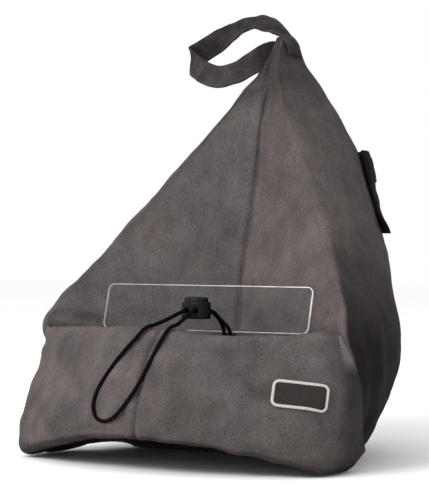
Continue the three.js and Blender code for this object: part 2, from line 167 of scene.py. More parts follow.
def meshPiece(name, points, faces, uv=None):
    # A smooth mesh from its points, its faces and a place on the UV map for each corner
    mesh = bpy.data.meshes.new(name)
    mesh.from_pydata(points.reshape(-1, 3).tolist(), [], faces)
    if uv is not None:
        layer = mesh.uv_layers.new(name="UVMap")
        layer.data.foreach_set("uv", np.asarray(uv, np.float32).ravel())
    mesh.polygons.foreach_set("use_smooth", [True] * len(mesh.polygons))
    mesh.update()
    piece = bpy.data.objects.new(name, mesh)
    bpy.context.scene.collection.objects.link(piece)
    return piece


def gridPiece(name, grid, loop=False, caps=False, uvScale=(1, 1)):
    # A skin over a grid whose last column joins its first. loop also joins the last row to the first, and
    # caps closes both end rows. A skin with a volume below zero is turned right side out
    rows, columns = grid.shape[:2]
    steps = rows if loop else rows - 1
    i, j = np.meshgrid(np.arange(steps), np.arange(columns), indexing="ij")
    i, j = i.ravel(), j.ravel()
    k = (j + 1) % columns
    n = (i + 1) % rows
    faces = np.stack([i * columns + j, i * columns + k, n * columns + k, n * columns + j], axis=1)
    u = np.stack([j, j + 1, j + 1, j], axis=1) / columns * uvScale[0]
    v = np.stack([i, i, i + 1, i + 1], axis=1) / steps * uvScale[1]
    ends = [list(range(columns))[::-1], list(range((rows - 1) * columns, rows * columns))] if caps else []
    corners = grid.reshape(-1, 3)[faces] - grid.reshape(-1, 3).mean(axis=0)
    volume = np.sum(corners[:, 0] * np.cross(corners[:, 1], corners[:, 2]))
    volume += np.sum(corners[:, 0] * np.cross(corners[:, 2], corners[:, 3]))
    if volume < 0:
        faces, u, v, ends = faces[:, ::-1], u[:, ::-1], v[:, ::-1], [end[::-1] for end in ends]
    uv = np.stack([u, v], axis=-1).reshape(-1, 2)
    if caps:
        uv = np.concatenate([uv, np.zeros((2 * columns, 2))])
    return meshPiece(name, grid, faces.tolist() + ends, uv)


def paint(piece, name, values):
    # One number for each point, which the materials read
    layer = piece.data.attributes.new(name, "FLOAT", "POINT")
    layer.data.foreach_set("value", np.asarray(values, np.float32).ravel())


# Materials

class Wire:
    # A socket whose arithmetic adds Math nodes, and whose node() adds any other node
    def __init__(self, tree, socket=None):
        self.tree = tree
        self.socket = socket

    def node(self, kind, settings=None, inputs=None, output=0):
        made = self.tree.nodes.new("ShaderNode" + kind)
        for name, value in (settings or {}).items():
            setattr(made, name, value)
        for name, value in (inputs or {}).items():
            if isinstance(value, Wire):
                self.tree.links.new(value.socket, made.inputs[name])
            else:
                made.inputs[name].default_value = value
        return Wire(self.tree, made.outputs[output]) if made.outputs else None

    def math(self, operation, first, second=0.0):
        return self.node("Math", {"operation": operation}, {0: first, 1: second})

    def __add__(self, other):
        return self.math("ADD", self, other)

    def __radd__(self, other):
        return self.math("ADD", other, self)

    def __sub__(self, other):
        return self.math("SUBTRACT", self, other)

    def __rsub__(self, other):
        return self.math("SUBTRACT", other, self)

    def __mul__(self, other):
        return self.math("MULTIPLY", self, other)

    def __rmul__(self, other):
        return self.math("MULTIPLY", other, self)

    def place(self):
        # Where each point of the piece is, in metres
        return self.node("TexCoord", None, None, 3)

    def noise(self, size, detail=2.0, roughness=0.5, place=None):
        # Noise of this size over the piece, or over another place
        place = self.place() if place is None else place
        settings = {"Vector": place, "Scale": 1 / size, "Detail": detail, "Roughness": roughness}
        return self.node("TexNoise", None, settings)

    def blend(self, first, second, share):
        # Two colours mixed by a share, through the Mix node's colour sockets
        return self.node("Mix", {"data_type": "RGBA"}, {0: share, 6: first, 7: second}, 2)

    def bump(self, height, distance, strength):
        return self.node("Bump", None, {"Height": height, "Distance": distance, "Strength": strength})

    def spread(self, low, high):
        # This value moved from between low and high to between 0 and 1, and held there
        return self.node("MapRange", {"clamp": True}, {0: self, 1: low, 2: high, 3: 0.0, 4: 1.0})


def surface(name, build):
    # A material whose build function returns its shader, or the inputs of a Principled one
    material = bpy.data.materials.new(name)
    material.use_nodes = True
    material.node_tree.nodes.clear()
    start = Wire(material.node_tree)
    built = build(start)
    shader = built if isinstance(built, Wire) else start.node("BsdfPrincipled", None, built)
    start.node("OutputMaterial", None, {"Surface": shader})
    return material


def colour(red, green, blue):
    # An opaque colour
    return (red, green, blue, 1)


suedeLook = {
    "warm": colour(0.136, 0.111, 0.108),
    "cool": colour(0.115, 0.104, 0.104),
    "deep": colour(0.026, 0.022, 0.021),
    "cloudSize": 0.045,
    "napSize": 0.0085,
    "grainSize": 0.0014,
    "strokes": (1, 1, 0.5),
    "sheen": 0.015,
}


def suede(start):
    # Two painted attributes: the pile's tone from cool to warm, partly random and partly painted light, warmer
    # on the panels turned to the light, and shade, which is painted shade, darker where less light falls
    look = suedeLook
    tone_and_painted_light = start.node("Attribute", {"attribute_name": "tone_and_painted_light"}, None, 2)
    shade = start.node("Attribute", {"attribute_name": "shade"}, None, 2)
    clouds = start.noise(look["cloudSize"], 3.0, 0.6).spread(0.3, 0.7)
    strokes = start.node("VectorMath", {"operation": "MULTIPLY"}, {0: start.place(), 1: look["strokes"]}, 0)
    brushed = start.noise(look["napSize"], 3.0, 0.62, strokes).spread(0.3, 0.7)
    grain = start.noise(look["grainSize"], 2.0, 0.75).spread(0.28, 0.72)
    fibres = start.noise(look["grainSize"] * 0.4, 1.0, 0.5).spread(0.3, 0.7)
    tone = (clouds * 0.45 + tone_and_painted_light * 0.6).spread(0.05, 1.0)
    base = start.blend(look["cool"], look["warm"], tone)
    dark = 0.89 - clouds * 0.06 - brushed * 0.2 - grain * 0.56 - fibres * 0.28
    base = start.blend(base, look["deep"], dark)
    base = start.node("Mix", {"data_type": "RGBA", "blend_type": "MULTIPLY"}, {0: 1.0, 6: base, 7: shade}, 2)
    height = grain * 0.5 + brushed * 0.9 + fibres * 0.25
    return {
        "Base Color": base,
        "Roughness": 0.94,
        "Normal": start.bump(height, 0.0006, 0.5),
        "Specular IOR Level": 0.04,
        "Sheen Weight": look["sheen"],
        "Sheen Roughness": 0.45,
    }


def finished(start, base, roughness, bump, specular=0.5, sheen=0.0):
    # The inputs of a Principled node. bump: a height, how far it stands out and how strongly
    return {
        "Base Color": base,
        "Roughness": roughness,
        "Normal": start.bump(*bump),
        "Specular IOR Level": specular,
        "Sheen Weight": sheen,
    }


def pocketCloth(start):
    # Black cloth: a fine checker for the weave, with noise for its fluff
    weave = start.node("TexChecker", None, {"Vector": start.node("UVMap"), "Scale": 420.0}, 1)
    fluff = start.noise(0.004, 3.0)
    base = start.blend(colour(0.003, 0.003, 0.004), colour(0.012, 0.012, 0.013), weave * 0.5 + fluff * 0.4)
    return finished(start, base, 0.85, (weave * 0.6 + fluff, 0.0004, 0.5), specular=0.1, sheen=0.01)


def braid(start):
    # Two sets of strands that cross: the sum and the difference of the cord's two directions
    u, v = (start.node("SeparateXYZ", None, {0: start.node("UVMap")}, axis) for axis in (0, 1))
    right = start.math("SINE", (u + v) * 2 * math.pi)
    left = start.math("SINE", (u - v) * 2 * math.pi)
    strands = start.math("MAXIMUM", right, left)
    share = strands.spread(-0.5, 1.0) * 0.7 + start.noise(0.0012, 2.0) * 0.2
    base = start.blend(colour(0.0006, 0.0006, 0.0006), colour(0.0045, 0.0042, 0.0042), share)
    return finished(start, base, 0.8, (strands, 0.0003, 0.7), specular=0.04)


def moulded(start):
    # Satin plastic: fine noise for its grain, and larger noise where it is worn paler and rougher
    fine = start.noise(0.0007, 2.0)
    paler = start.noise(0.009, 3.0).spread(0.4, 0.7)
    base = start.blend(colour(0.0008, 0.0008, 0.0008), colour(0.003, 0.003, 0.0032), paler)
    return finished(start, base, 0.3 + paler * 0.12 + fine * 0.06, (fine, 0.0001, 0.25), specular=0.14)


def patchCloth(start):
    # Plain cloth: a fine checker and noise, in equal parts
    weave = start.node("TexChecker", None, {"Vector": start.place(), "Scale": 1400.0}, 1)
    fluff = start.noise(0.002, 3.0)
    base = start.blend(colour(0.015, 0.013, 0.0125), colour(0.034, 0.030, 0.028), weave * 0.45 + fluff * 0.45)
    return finished(start, base, 0.85, (weave + fluff * 0.5, 0.0003, 0.5), specular=0.1, sheen=0.04)


threadLook = {
    "pale": (colour(0.30, 0.28, 0.26), colour(0.48, 0.46, 0.43), 0.7, 0.2),  # two tones, roughness and sheen
    "dark": (colour(0.035, 0.030, 0.028), colour(0.075, 0.066, 0.062), 0.75, 0.0),
}


def thread(kind):
    # Spun thread, mottled between two tones
    first, second, roughness, sheen = threadLook[kind]

    def build(start):
        fluff = start.noise(0.0008, 2.0)
        return finished(start, start.blend(first, second, fluff), roughness, (fluff, 0.0002, 0.4), sheen=sheen)
    return build


def clearFace(start):
    # Clear acrylic: nearly nothing seen square on, and a mirror at a glancing angle
    smears = start.noise(0.02, 3.0).spread(0.35, 0.75)
    glancing = start.node("LayerWeight", None, {"Blend": 0.22}, 0)
    gloss = start.node("BsdfPrincipled", None, {
        "Base Color": start.blend(colour(0.55, 0.56, 0.56), colour(0.75, 0.76, 0.76), smears),
        "Roughness": 0.16 + smears * 0.1,
        "Specular IOR Level": 0.5,
    })
    through = start.node("BsdfTransparent", None, {"Color": colour(0.97, 0.98, 0.98)})
    return start.node("MixShader", None, {0: glancing * 0.2 + 0.004, 1: through, 2: gloss})


def clearRim(start):
    # The cut edge gathers the light that runs inside the sheet: painted light, a paler edge that glows by
    # emission, more opaque and brightest towards the right
    right = start.node("SeparateXYZ", None, {0: start.place()}, 0).spread(-0.11, 0.08)
    glow = (start.noise(0.012, 2.0).spread(0.35, 0.7) * 0.4 + 0.6) * (right * 0.7 + 0.3)
    return {
        "Base Color": start.blend(colour(0.62, 0.63, 0.63), colour(0.98, 0.99, 0.99), glow),
        "Roughness": 0.18,
        "Specular IOR Level": 0.7,
        "Alpha": 0.35 + glow * 0.65,
        "Emission Color": start.blend(colour(0.12, 0.12, 0.12), colour(1, 1, 1), glow),
        "Emission Strength": 0.3,
    }


suedeMaterial = surface("brushed_suede", suede)
pocketMaterial = surface("pocket_cloth", pocketCloth)
cordMaterial = surface("braided_elastic", braid)
lockMaterial = surface("moulded_black", moulded)
patchMaterial = surface("patch_cloth", patchCloth)
paleMaterial = surface("pale_thread", thread("pale"))
threadMaterial = surface("dark_thread", thread("dark"))
faceMaterial = surface("clear_face", clearFace)
rimMaterial = surface("clear_rim", clearRim)
print("materials made")


def dress(piece, material, body="pillow"):
    # A piece's material and the body it rides on
    piece.data.materials.append(material)
    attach(piece, body)


# Body cushion

# The right half at each height, in mm. seam: the middle of the front. ridge: where the front panel turns to
# the side. side, turn: points on the side and where it turns to the back. rear: the middle of the back.
bodyRows = named("z seamY ridgeX ridgeY sideX sideY turnX turnY rearY", [
    "0 -57 104 -55 101 -25 78 15 51",
    "9 -59 120 -59 113 -23 87 23 71",
    "30 -56 131 -64 127 -25 99 30 93",
    "56 -44 135 -69 135 -27 112 37 111",
    "80 -28 135 -79 137.5 -29 118 42 118",
    "103 -15 134 -89 136 -31 115 44 121",
    "121 -11 129 -79 129 -25 108 47 121",
    "145 -6 112 -62 116 -16 100 54 121",
    "169 0 97 -45 103 -3 90 63 119",
    "193 6 81 -28 90 11 79 71 117",
    "217 12 66 -14 76 23 69 76 115",
    "240 18 50 -1 62 33 59 82 111",
    "266 24 32 12 44 43 42 83 105",
    "285 31 20 23 31 50 29 84 101",
    "301 37 10 34 20 57 19 83 96",
    "316 45 5 45 9.5 63 9 79 90",
    "330 52 3 53 4.5 65 4 78 86",
], mm)

archLook = {"start": -0.070, "back": -0.017, "half": 0.128, "rise": 0.024}


def archHeight(x, y):
    # The space under the drawn-up front: a parabola across it, level as far back as start, then a quarter
    # ellipse
    look = archLook
    past = np.clip((y - look["start"]) / (look["back"] - look["start"]), 0, 1)
    return look["rise"] * np.clip(1 - (x / look["half"]) ** 2, 0, 1) * np.sqrt(1 - past ** 2)


bodyLook = {
    "top": 0.330,
    "droop": 0.18,  # the apex seam falls towards the back, per metre
    "droopStart": 0.285,
    "apexSeamY": 0.069,
    "panelHollow": 0.0015,
    "shoulderBulge": 0.0016,
    "rows": 198,
    "half": 188,
    "seamDepth": 0.0014,
    "seamWidth": 0.0012,
    "softening": 6,  # columns over which the right ridge is rounded
    "reach": 14,  # columns on each side that count in the rounding
    "tip": 0.0022,  # how far the apex is rounded above its seam
    "soft": ((0.0011, 0.075, 11), (0.0005, 0.032, 12), (0.00016, 0.012, 13)),  # height, wavelength, seed
    "napWaves": ((0.2, 0.06, 15), (0.12, 0.02, 16)),
    "shadeWaves": ((0.06, 0.022, 18), (0.06, 0.05, 19)),
    "weltHeight": 0.0012,
    "sideLow": (0.58, 0.14),  # how bright the sides are low down, at the left and at the right
    "sideHigh": (0.76, 0.82),
    "leftPanel": 0.91,
    "rightPanel": (0.83, 0.97),  # low down and higher up
    "apexDark": 0.36,
    "seamDark": 0.22,
}


def bodyHalf(z):
    # Nine steering points for the right half at each height, from the front seam to the middle of the back
    at = lambda name: columnAt(bodyRows, name, z)
    point = lambda x, y: np.stack([x, y], axis=-1)
    seam = point(0 * z, at("seamY"))
    ridge = point(at("ridgeX"), at("ridgeY"))
    side = point(at("sideX"), at("sideY"))
    turn = point(at("turnX"), at("turnY"))
    rear = point(0 * z, at("rearY"))
    flank = point(turn[:, 0] * 0.56, mix(turn[:, 1], rear[:, 1], 0.72))
    sag = lambda share: point(0 * z, 0 * z + bodyLook["panelHollow"] * (1 - share))
    panel = [mix(seam, ridge, share) + sag(share) for share in (0.4, 0.88)]
    level = z / bodyLook["top"]
    shoulder = mix(ridge, side, 0.45) + point(bodyLook["shoulderBulge"] * 4 * level * (1 - level), 0 * z)
    mirrored = flank * [-1, 1]
    return np.stack([seam, seam, *panel, ridge, shoulder, side, turn, flank, rear, mirrored], axis=1)


def softened(right, z, places):
    # The right ridge, rounded: a Gaussian mean along each ring, mixed in round the ridge and above the ledge
    reach, span = bodyLook["reach"], right.shape[1]
    steps = np.arange(2 * reach + 1)
    weights = bell(steps - reach, bodyLook["softening"])
    weights /= weights.sum()
    padded = np.pad(right, ((0, 0), (reach, reach), (0, 0)), mode="edge")
    mean = sum(weight * padded[:, step:step + span] for step, weight in zip(steps, weights))
    share = bell(places - 3.2, 1.1)[None] * smoothstep(z, 0.112, 0.15)[:, None]
    return mix(right, mean, share[..., None])


def bodyGrid():
    # Rings of the half section and its mirror image, closed over the apex and inwards over the base
    rows = bodyLook["rows"]
    low = np.linspace(0, 1, rows)
    z = bodyLook["top"] * (0.9 * low + 0.1 * low * low * (3 - 2 * low))
    z = np.sort(np.concatenate([z, np.linspace(0.0005, 0.008, 8)]))
    steering = bodyHalf(z)
    middle = steering[len(z) // 3, 1:-1]
    gone = distances(middle)
    places = np.interp(np.linspace(0, gone[-1], bodyLook["half"]), gone, np.arange(9))
    places[-1] = 8 - 1e-9
    right = spline(steering, places)
    left = right[:, -2:0:-1] * [-1, 1]
    right = softened(right, z, places)
    flat = np.concatenate([right, left], axis=1)
    droop = bodyLook["droop"] * smoothstep(z, bodyLook["droopStart"], bodyLook["top"])
    height = z[:, None] - droop[:, None] * (flat[..., 1] - bodyLook["apexSeamY"])
    grid = np.concatenate([flat, height[..., None]], axis=-1)
    turns = np.linspace(0, math.pi / 2, 7)[1:]
    tip = grid[-1]
    apex = [tip * [math.cos(a) ** 0.8, 1, 1] + [0, 0, bodyLook["tip"] * math.sin(a)] for a in turns]
    centre = grid[0].mean(axis=0)
    base = np.stack([mix(centre, grid[0], share) for share in np.linspace(0.002, 0.985, 24)])
    return np.concatenate([base, grid, apex])


# Folds and dents, in mm: a segment from one point to another, its half width, its height (below 0, a valley)
# and the height of the soft ridge on its left side as one looks along it
bodyFolds = named("ax ay az bx by bz width height lip", [
    "-1.5 48 326 -3 31 286 2 -2.2 0",
    "2.2 48 326 2.6 31 287 2.8 1.6 0",
    "-6 30 283.8 8.5 28 283 1.2 -1.4 0.5",
    "-18 26 287 -3 34 295.5 3.2 1.4 0",
    "-20 25 281 -4 30 287 3 -1 0",
    "9 28 279 13 34 306 5 -0.9 0.4",
    "-127.5 -83 113.5 -117 -78 107 3.6 -3 1.2",
    "-120 -79 108.5 -93 -66 104 4.2 -2.4 1",
    "-128 -80 119 -102 -67 119 7 1.8 0",
    "-118 -72 129 -90 -55 123 8 -1 0",
    "-90 -62 108 -45 -40 105 6 -1.4 0.6",
    "50 -42 105 95 -66 108 6 -1.4 0.6",
    "105 -70 110 123 -80 121 5.5 -1.8 0.8",
    "118 -70 134 130 -66 106 7 -1.2 0",
    "136.5 -66 94 138.5 -46 93 2.8 -1.2 0.6",
    "134 -60 56 130 -30 40 9 -2 1",
    "130 -58 30 122 -20 23 7 -1.8 0.8",
    "60 10 230 90 50 190 14 -1.4 0.6",
    "-60 10 230 -95 50 180 14 -1.4 0.6",
    "20 105 270 40 116 130 16 -1.2 0",
    "-50 110 140 -30 116 60 15 -1.4 0",
    "90 60 90 110 30 20 12 -1.6 0.8",
    "-90 60 90 -110 30 20 12 -1.6 0.8",
    "30 110 70 60 85 15 12 -1.6 0.8",
    "-30 105 50 -65 80 15 10 -1.6 0.8",
], mm)

ledgeFolds = named("ax ay az bx by bz width height lip", [
    "-56 -157 29 -9 -163 29 4.2 -3.4 1.4",
    "-76 -150 20.5 -50 -154 24.5 3.4 1.8 0",
    "6 -163 30 26 -161 26 4.5 -1.8 0.8",
    "-12 -163 45 -3 -164 30 4 -1.2 0.4",
    "82 -146 20 112 -133 13 5 -3.4 1.6",
    "104 -138 30 123 -126 20 6 1 0",
    "129 -105 42 135 -92 40 2.6 -1.6 0.6",
    "129 -104 30 137 -93 31 2.6 -1.4 0.6",
    "124 -108 64 131 -98 60 3.2 -1.2 0.5",
    "-125 -118 35 -137 -100 33 5 -2 1",
    "-116 -122 56 -132 -100 50 6 -1.4 0.6",
    "-118 -108 90 -129 -96 88 5 -1.6 0.6",
    "-110 -105 100 -85 -108 102 4 -1 0.4",
    "85 -112 100 115 -102 98 4.5 -1.2 0.4",
    "15 -136 93.5 66 -129 92.8 3.6 -0.9 0",
    "60 -130 93.2 112 -113 91 3.6 -1.2 0",
    "40 -150 70 80 -140 60 18 -1.2 0",
    "-90 -140 70 -60 -150 50 16 1 0",
], mm)


def folded(points, normals, folds):
    # Each fold is a bell across its segment with a lip on its left, faded towards the segment's ends
    height = np.zeros(points.shape[:-1])
    for row in np.stack([folds[name] for name in folds], axis=1):
        a, b, (width, depth, lip) = row[:3], row[3:6], row[6:]
        way = unit(b - a)
        length = np.linalg.norm(b - a)
        along = (points - a) @ way
        off = points - a - np.clip(along, 0, length)[..., None] * way
        left = np.sum(off * np.cross(normals, way), axis=-1)
        far = np.linalg.norm(off, axis=-1)
        fade = np.sin(np.clip(along / length, 0, 1) * math.pi * 0.9 + 0.15)
        crest = np.exp(-((left - 2 * width) / (1.2 * width)) ** 2) * bell(far, 3.2 * width)
        height += (depth * bell(far, width) + lip * crest) * np.clip(fade, 0, 1)
    return height


def bodyCover():
    # The body's grid, moved along its normals by soft waves, puckers, the seam, the folds and the welt
    look = bodyLook
    grid = bodyGrid()
    normals = outward(grid)
    x, y, z = np.moveaxis(grid, -1, 0)
    front = smoothstep(-normals[..., 1], 0.2, 0.5)
    fromSeam = np.abs(x)
    alive = smoothstep(z, 0.004, 0.03) * (1 - 0.75 * smoothstep(z, 0.27, 0.325))
    soft = wavy(grid, *look["soft"])
    puckers = 0.0004 * bell(fromSeam, 0.009) * waves(grid * [0.4, 0.4, 1], 0.013, 14)
    seam = -look["seamDepth"] * bell(fromSeam, look["seamWidth"]) + 0.0004 * bell(fromSeam - 0.0042, 0.002)
    sewn = front * (puckers + seam * smoothstep(z, 0.06, 0.1)) * smoothstep(0.332 - z, 0, 0.01)
    height = soft * alive + sewn
    height += folded(grid, normals, bodyFolds)
    # The seam that joins the side to the ledge's end stands up as a soft welt along the ridge
    ridge = np.hypot(fromSeam - columnAt(bodyRows, "ridgeX", z), y - columnAt(bodyRows, "ridgeY", z))
    welt = bell(ridge, 0.0035) * (1 - smoothstep(z, 0.1, 0.125)) * smoothstep(z, 0.01, 0.03)
    height += look["weltHeight"] * welt * (1 + 0.25 * waves(grid, 0.016, 17))
    grid = grid + normals * height[..., None]
    grid[..., 2] = np.maximum(grid[..., 2], archHeight(grid[..., 0], grid[..., 1]))
    cover = gridPiece("body_cover", grid, caps=True)
    panel = smoothstep(x, -0.004, 0.004)
    side = 1 - front
    # Painted light by panel: the right panel warmer than the left, with random waves over all
    paint(cover, "tone_and_painted_light", mix(mix(0.1, 0.9, panel), 0.7, side) + wavy(grid, *look["napWaves"]))
    # Painted shade: the sides and the back are darker, most of all low down at the right, and the front panels
    # change with height
    right = smoothstep(x, 0.03, 0.09) * (1 - smoothstep(y, 0.0, 0.08))
    down, up = (mix(*look[name], right) for name in ("sideLow", "sideHigh"))
    sideShade = mix(down, up, smoothstep(z, 0.08, 0.21))
    low, high = 1 - smoothstep(z, 0.11, 0.17), smoothstep(z, 0.25, 0.29)
    panelShade = mix(*look["rightPanel"], smoothstep(z, 0.12, 0.15))
    panelShade = panelShade * (1 - 0.15 * smoothstep(z, 0.17, 0.22) - 0.1 * high)
    frontShade = mix(look["leftPanel"], panelShade, panel) * (1 + 0.08 * low)
    shade = mix(frontShade, sideShade * (1 + 0.08 * high), side)
    # Painted shade darkens the apex, and a painted highlight lightens the welt
    shade = shade * (1 - look["apexDark"] * smoothstep(z, 0.262, 0.305)) * (1 + 0.12 * welt)
    shade = shade * (1 + wavy(grid, *look["shadeWaves"]))
    # Painted shade in the front seam's groove
    shade = shade * (1 - look["seamDark"] * bell(fromSeam, 0.0010) * front)
    paint(cover, "shade", shade)
    dress(cover, suedeMaterial)
    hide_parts("body_cushion")
    return cover


body = bodyCover()
print("body cushion made")


# Front ledge

ledgeLook = {
    "front": -0.164,  # the bottom front edge at the centre
    "rise": 0.024,
    "half": 0.131,
    "crestFront": -0.132,
    "crestSweep": 0.034,
    "crestHeight": 0.103,
    "feet": -0.115,
    "overlap": 0.005,
    "tuck": (0.024, 0.015),  # depth and height of the end seams' turn forward at the floor
    "stations": 400,
    "round": 200,
    "soft": ((0.0012, 0.07, 21), (0.0006, 0.03, 22), (0.0002, 0.012, 23)),  # height, wavelength, seed
    "napWaves": ((0.2, 0.06, 26), (0.14, 0.02, 27)),
    "shadeWaves": ((0.08, 0.022, 28), (0.08, 0.05, 29)),
    "seamDepth": 0.0022,
    "endPuckers": 0.0016,
    "dip": 0.0034,  # how far the crest sinks before the plate's right half
}

ledgeEnds = named("z left right", [
    "0 136 131", "5 141 136", "14 142.5 139", "28 139.5 138",
    "45 136.5 139.5", "63 132 140.5", "78 128.5 138.5", "92 129.5 135",
    "104 130.5 131.5",
], mm)


def bodyFront(x, z):
    # The panels' face at a height: straight from the seam to the ridge
    share = np.minimum(1, np.abs(x) / columnAt(bodyRows, "ridgeX", z))
    return mix(columnAt(bodyRows, "seamY", z), columnAt(bodyRows, "ridgeY", z), share)


def ledgeGrid():
    # A closed profile at each station, drawn up and forward at the centre, closing to a seam at each end
    look = ledgeLook
    q = np.linspace(1, -1, look["stations"])
    along = 1 - (1 - np.abs(q)) ** 1.6
    sweep = along ** 2
    frontY = mix(look["front"], look["feet"], sweep)
    rise = look["rise"] * (1 - sweep)
    crestY = look["crestFront"] + look["crestSweep"] * sweep
    x = along * look["half"]
    towardsEnd = smoothstep(along, 0.86, 1)
    depth, height = look["tuck"]

    def rear(z, x=x, end=towardsEnd):
        # The panels' face, overlapped, and drawn forward at the foot of the end seams
        tuck = depth * end * np.maximum(0, 1 - z / height)
        return bodyFront(x, z) + mix(look["overlap"], -0.003, end) - tuck

    def face(share, crown):
        return mix(frontY, crestY, share) - crown, mix(rise, look["crestHeight"], share)

    crest = look["crestHeight"]
    low = archHeight(x, rear(0.0))
    profile = [
        (frontY + 0.003, rise + 0.0008),
        face(0.07, 0.0022),
        face(0.3, 0.0062),
        face(0.6, 0.0066),
        face(0.88, 0.0026),
        (crestY + 0.004, crest - 0.0005),
        (mix(crestY, rear(0.098), 0.3), crest - 0.003),
        (mix(crestY, rear(0.098), 0.6), 0.0974),
        (rear(0.098), 0.0964),
        (rear(0.06), 0.06),
        (rear(0.02), mix(low, 0.06, 0.4)),
        (rear(0.0), low),
        (mix(frontY, rear(0.0), 0.6), archHeight(x, mix(frontY, rear(0.0), 0.6))),
        (mix(frontY, rear(0.0), 0.3), archHeight(x, mix(frontY, rear(0.0), 0.3))),
    ]
    steering = np.stack([np.stack([py, np.broadcast_to(pz, x.shape)], axis=-1) for py, pz in profile], axis=1)
    gone = distances(np.concatenate([steering[0], steering[0][:1]]))
    places = np.interp(np.linspace(0, gone[-1], look["round"], endpoint=False), gone, np.arange(15))
    loop = easySpline(steering, places, closed=True)
    edge = np.clip((along - 0.9) / 0.1, 0, 1)[:, None]
    left = np.clip(1 - edge ** 4, 0, 1) ** 0.42
    z = np.maximum(0, mix(crest / 2, loop[..., 1], 1 - 0.04 * edge ** 4))
    y = mix(rear(z, x[:, None], towardsEnd[:, None]), loop[..., 0], left)
    reach = [np.interp(z, ledgeEnds["z"], ledgeEnds[side]) for side in ("right", "left")]
    reach = np.where(q[:, None] > 0, *reach)
    return np.stack([np.sign(q)[:, None] * along[:, None] * reach, y, z], axis=-1), along


def ledgeCover():
    # The ledge's grid, moved along its normals by soft waves, the centre seam, end puckers and the folds
    look = ledgeLook
    grid, along = ledgeGrid()
    normals = outward(grid)
    x, y, z = np.moveaxis(grid, -1, 0)
    front = smoothstep(-normals[..., 1], -0.1, 0.3)
    inner = 1 - smoothstep(along, 0.93, 1.0)[:, None]
    soft = wavy(grid, *look["soft"])
    puckers = 0.0005 * bell(x, 0.012) * waves(grid * [0.4, 0.4, 1], 0.014, 24)
    seam = -look["seamDepth"] * bell(x, 0.0022) + 0.0006 * bell(np.abs(x) - 0.006, 0.003)
    nearEnd = look["endPuckers"] * smoothstep(along, 0.86, 0.97)[:, None]
    endPuckers = nearEnd * waves(grid * [0.3, 0.3, 1], 0.017, 25)
    height = soft * inner * smoothstep(z, 0.002, 0.012) + front * (puckers + seam) + endPuckers * inner
    height += folded(grid, normals, ledgeFolds)
    grid = grid + normals * height[..., None]
    # The crest sinks a little to the right of the cord, and the plate's foot shows over it
    sunk = smoothstep(x, 0.008, 0.03) * (1 - smoothstep(x, 0.092, 0.118)) * smoothstep(z, 0.08, 0.102)
    grid[..., 2] -= look["dip"] * sunk
    grid[..., 2] = np.maximum(grid[..., 2], archHeight(grid[..., 0], grid[..., 1]))
    cover = gridPiece("ledge_cover", grid)
    # Painted light: warmer left of the centre seam, with random waves
    paint(cover, "tone_and_painted_light", 0.5 + wavy(grid, *look["napWaves"]) - 0.2 * np.sign(x))
    # The crest's edge is painted lighter, and painted shade darkens the end that turns in behind its seam, low
    # down, and the faces turned downwards
    paler = bell(z - 0.1005, 0.0035) * smoothstep(-y, 0.06, 0.09)
    below = smoothstep(-normals[..., 2], 0.2, 0.7)
    low = 1 - smoothstep(z, 0.03, 0.085)
    # Painted shade: darker just right of the centre seam, most of all low down, and towards the right end
    # higher up
    tone = 0.9 - 0.17 * bell(x - 0.03, 0.05) * (0.5 + 0.5 * low) - 0.05 * smoothstep(x, -0.02, 0.01) * low
    tone = tone - 0.09 * smoothstep(x, 0.05, 0.09) * (1 - low)
    shade = tone + wavy(grid, *look["shadeWaves"])
    end = smoothstep(along, 0.982, 0.999)[:, None]
    shade = shade * (1 + 0.12 * paler) * (1 - 0.6 * end * (1 - smoothstep(z, 0.07, 0.085))) * (1 - 0.5 * below)
    # Painted highlight along the seam edge at each end, above its foot
    shade = shade * (1 + 1.1 * bell(along - 0.998, 0.0035)[:, None] * smoothstep(z, 0.07, 0.085))
    # Painted shade in the centre seam's groove
    shade = shade * (1 - 0.4 * bell(x, 0.0016) * front)
    paint(cover, "shade", shade)
    dress(cover, suedeMaterial)
    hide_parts("front_ledge")
    return grid, normals


ledgeSkin, ledgeNormals = ledgeCover()
print("front ledge made")


# Hand strap

# The middle line from the left flank of the apex round to the right one, and the direction of its width
strapRows = named("x y z wx wy wz", [
    "-0.0107 0.083 0.321 0.3 0 0.95",
    "-0.011 0.071 0.3225 0.3 0 0.95",
    "-0.0126 0.061 0.3235 0.25 0 0.97",
    "-0.021 0.0505 0.316 0 0.15 0.98",
    "-0.037 0.0455 0.307 0 0.2 0.97",
    "-0.054 0.046 0.304 0 0.2 0.97",
    "-0.0715 0.05 0.309 0 0.15 0.98",
    "-0.0855 0.0565 0.3168 0 0.1 1",
    "-0.0918 0.065 0.323 0 0.1 1",
    "-0.0872 0.0735 0.3285 0 0.1 1",
    "-0.0775 0.08 0.336 0 0.15 0.98",
    "-0.0655 0.085 0.3446 0 0.38 0.92",
    "-0.0515 0.087 0.3508 0 0.58 0.81",
    "-0.0365 0.0855 0.3515 0 0.76 0.65",
    "-0.0225 0.078 0.3468 0 0.9 0.42",
    "-0.009 0.071 0.3408 0 1 0.15",
    "0.0008 0.065 0.335 0 1 0.05",
    "0.0068 0.062 0.3282 0 1 0",
    "0.0105 0.0605 0.3195 0 1 0",
])

strapLook = {
    "width": 0.019, "thickness": 0.0026, "steps": 360, "round": 44, "stitchIn": 0.0026,
    "pitch": 0.0030, "stitch": 0.0023, "thread": 0.00028,
    "crumple": ((0.0005, 0.014, 31), (0.0007, 0.035, 32)),  # height, wavelength, seed
    "shade": 0.42,
    "shadeWaves": ((0.07, 0.012, 34), (0.08, 0.03, 35)),
}


